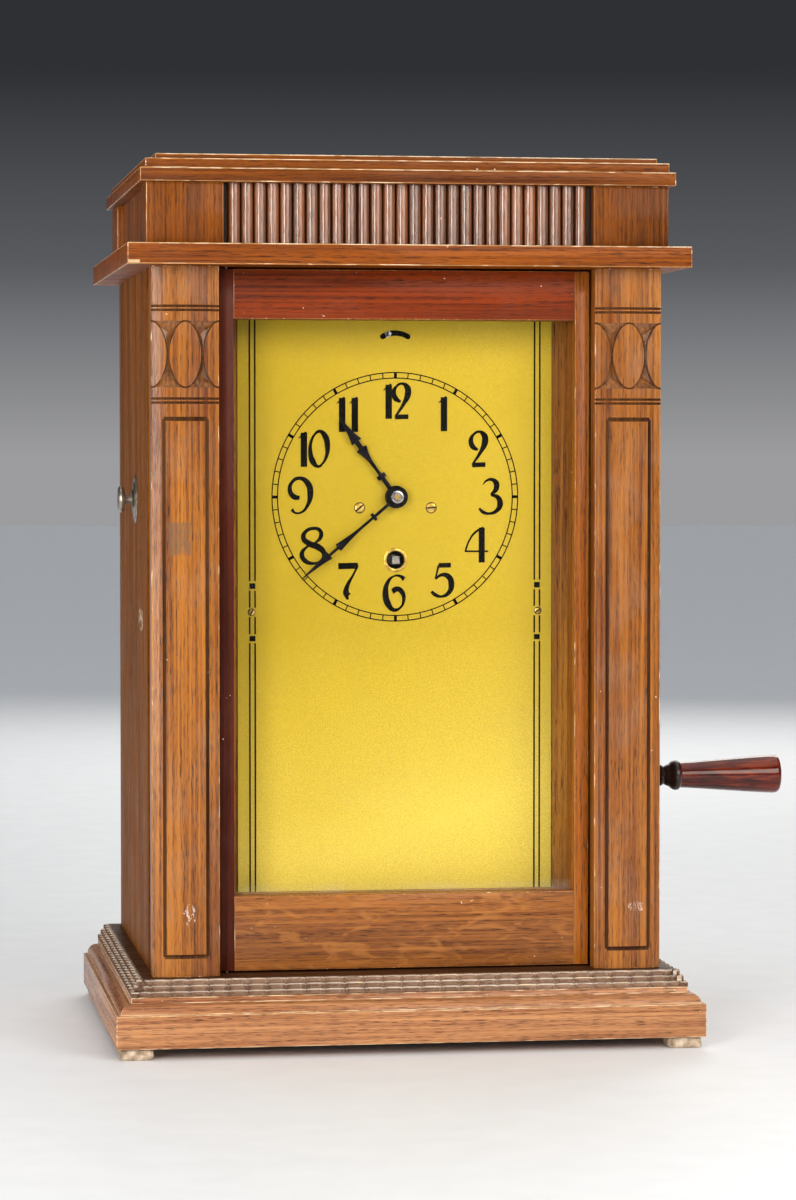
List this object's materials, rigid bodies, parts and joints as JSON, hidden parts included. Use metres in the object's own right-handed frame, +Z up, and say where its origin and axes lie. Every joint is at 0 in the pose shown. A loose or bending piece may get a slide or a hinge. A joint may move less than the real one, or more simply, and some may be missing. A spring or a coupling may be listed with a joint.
{
  "type": "table clock",
  "caption": "Oak table clock with a glazed door over a brass dial, a hand crank on the right side and a push button on the left that starts spring-driven sound works",
  "frame": {"origin": "on the table under the middle of the case: midway between the posts' outer faces and midway between the posts' front and the back panel", "axes": "+X to the right seen from the front (the crank's side), +Y towards the back, +Z up"},
  "size_m": [0.3476, 0.2385, 0.425],
  "materials": {
    "oak": "semi-gloss varnish",
    "grip_wood": "gloss varnish",
    "door_glass": "clear",
    "dial_brass": "matt gilt",
    "fittings_brass": "polished",
    "blued_steel": "blued",
    "steel": "worn",
    "nickel": "dulled nickel",
    "works_brass": "bright",
    "belt": "smooth",
    "horn": "black japan"
  },
  "bodies": {
    "case": {"feet": "oak", "base_board": "oak", "base_mouldings": "oak", "post_left": "oak", "post_right": "oak", "side_panel_left": "oak", "side_panel_right": "oak", "back_panel": "oak", "shelf_board": "oak", "frieze_corner_blocks": "oak", "frieze_reeding": "oak", "frieze_plain_panels": "oak", "cornice_lip": "oak", "top_step": "oak", "top_cap": "oak", "dial_battens": "oak", "dial_plate": "dial_brass", "winding_grommet": "fittings_brass", "door_pivot_bushes": "fittings_brass", "crank_bush": "fittings_brass", "back_screws": "steel", "dial_screws": "steel", "movement_screws": "steel", "works_frame": "steel", "movement_pillars": "steel", "knob_rosette": "nickel", "movement_front_plate": "works_brass", "movement_back_plate": "works_brass", "escapement_housing": "works_brass", "record_belt": "belt", "sound_horn": "horn"},
    "door": {"door_stile_left": "oak", "door_stile_right": "oak", "door_top_rail": "oak", "door_bottom_rail": "oak", "door_glass": "door_glass", "glass_beads": "oak", "door_pivot_pins": "steel"},
    "centre_arbor": {"centre_wheel": "works_brass", "cannon_pinion": "works_brass", "minute_hand": "blued_steel", "hand_nut": "steel"},
    "minute_work": {"minute_wheel": "works_brass"},
    "hour_work": {"hour_wheel": "works_brass", "hour_hand": "blued_steel"},
    "going_barrel": {"mainspring_barrel": "works_brass"},
    "third_arbor": {"third_wheel": "works_brass"},
    "escape_arbor": {"escape_pinion": "works_brass"},
    "winding": {"winding_arbor": "steel"},
    "balance": {"balance_wheel": "works_brass"},
    "regulator": {"regulator_lever": "steel"},
    "crank": {"crank_shaft": "steel", "crank_arm": "steel"},
    "grip": {"crank_grip": "grip_wood"},
    "motor_winding": {"motor_winding_wheel": "works_brass"},
    "motor": {"motor_barrel": "works_brass"},
    "driver": {"drive_roller": "works_brass"},
    "idler": {"idler_roller": "works_brass"},
    "button": {"push_button": "nickel"},
    "starter": {"start_lever": "steel"}
  },
  "joints": [
    {"name": "door_hinge", "type": "hinge", "parent": "case", "child": "door", "pos_m": [-0.0858, -0.0886, 0.2045], "axis": [0, 0, -1], "range_deg": [0, 90]},
    {"name": "minute_turn", "type": "hinge", "parent": "case", "child": "centre_arbor", "pos_m": [0, 0, 0.2631], "axis": [0, 1, 0], "continuous": true},
    {"name": "minute_wheel_turn", "type": "hinge", "parent": "case", "child": "minute_work", "pos_m": [0.006, 0, 0.27349], "axis": [0, 1, 0], "continuous": true},
    {"name": "hour_turn", "type": "hinge", "parent": "case", "child": "hour_work", "pos_m": [0, 0, 0.2631], "axis": [0, 1, 0], "continuous": true},
    {"name": "barrel_turn", "type": "hinge", "parent": "case", "child": "going_barrel", "pos_m": [0, 0, 0.2324], "axis": [0, 1, 0], "continuous": true},
    {"name": "third_turn", "type": "hinge", "parent": "case", "child": "third_arbor", "pos_m": [0, 0, 0.2841], "axis": [0, 1, 0], "continuous": true},
    {"name": "escape_turn", "type": "hinge", "parent": "case", "child": "escape_arbor", "pos_m": [0, 0, 0.3016], "axis": [0, 1, 0], "continuous": true},
    {"name": "winding_turn", "type": "hinge", "parent": "case", "child": "winding", "pos_m": [0, 0, 0.2324], "axis": [0, 1, 0], "continuous": true},
    {"name": "balance_swing", "type": "hinge", "parent": "case", "child": "balance", "pos_m": [0, 0, 0.331], "axis": [0, 1, 0], "range_deg": [-135, 135], "stiffness_Nm_per_rad": 0.00003},
    {"name": "regulator_turn", "type": "hinge", "parent": "case", "child": "regulator", "pos_m": [0, 0, 0.331], "axis": [0, 1, 0], "range_deg": [-17.5, 45.5]},
    {"name": "crank_turn", "type": "hinge", "parent": "case", "child": "crank", "pos_m": [0, 0, 0.1657], "axis": [1, 0, 0], "continuous": true},
    {"name": "grip_spin", "type": "hinge", "parent": "crank", "child": "grip", "pos_m": [0.17, 0, 0.1207], "axis": [1, 0, 0], "continuous": true},
    {"name": "motor_winding_turn", "type": "hinge", "parent": "case", "child": "motor_winding", "pos_m": [0, 0.036, 0.1232], "axis": [1, 0, 0], "continuous": true},
    {"name": "motor_barrel_turn", "type": "hinge", "parent": "case", "child": "motor", "pos_m": [0, 0.036, 0.1232], "axis": [1, 0, 0], "continuous": true},
    {"name": "drive_roller_turn", "type": "hinge", "parent": "case", "child": "driver", "pos_m": [0, 0, 0.1098], "axis": [1, 0, 0], "continuous": true},
    {"name": "idler_turn", "type": "hinge", "parent": "case", "child": "idler", "pos_m": [0, 0, 0.175], "axis": [1, 0, 0], "continuous": true},
    {"name": "button_slide", "type": "slide", "parent": "case", "child": "button", "axis": [1, 0, 0], "range_m": [0, 0.0032], "stiffness_N_per_m": 500, "springref_m": -0.002},
    {"name": "start_lever_turn", "type": "hinge", "parent": "case", "child": "starter", "pos_m": [-0.099, 0, 0.225], "axis": [0, 1, 0], "range_deg": [0, 5.1]}
  ],
  "couplings": [
    {"joint": "minute_wheel_turn", "follows": "minute_turn", "ratio": -0.33333},
    {"joint": "hour_turn", "follows": "minute_turn", "ratio": 0.083333},
    {"joint": "barrel_turn", "follows": "minute_turn", "ratio": -0.15385},
    {"joint": "third_turn", "follows": "minute_turn", "ratio": -5},
    {"joint": "escape_turn", "follows": "minute_turn", "ratio": 30},
    {"joint": "motor_winding_turn", "follows": "crank_turn", "ratio": -0.5},
    {"joint": "drive_roller_turn", "follows": "motor_barrel_turn", "ratio": -5},
    {"joint": "idler_turn", "follows": "motor_barrel_turn", "ratio": -5},
    {"joint": "start_lever_turn", "follows": "button_slide", "rad_per_m": 27.397}
  ]
}
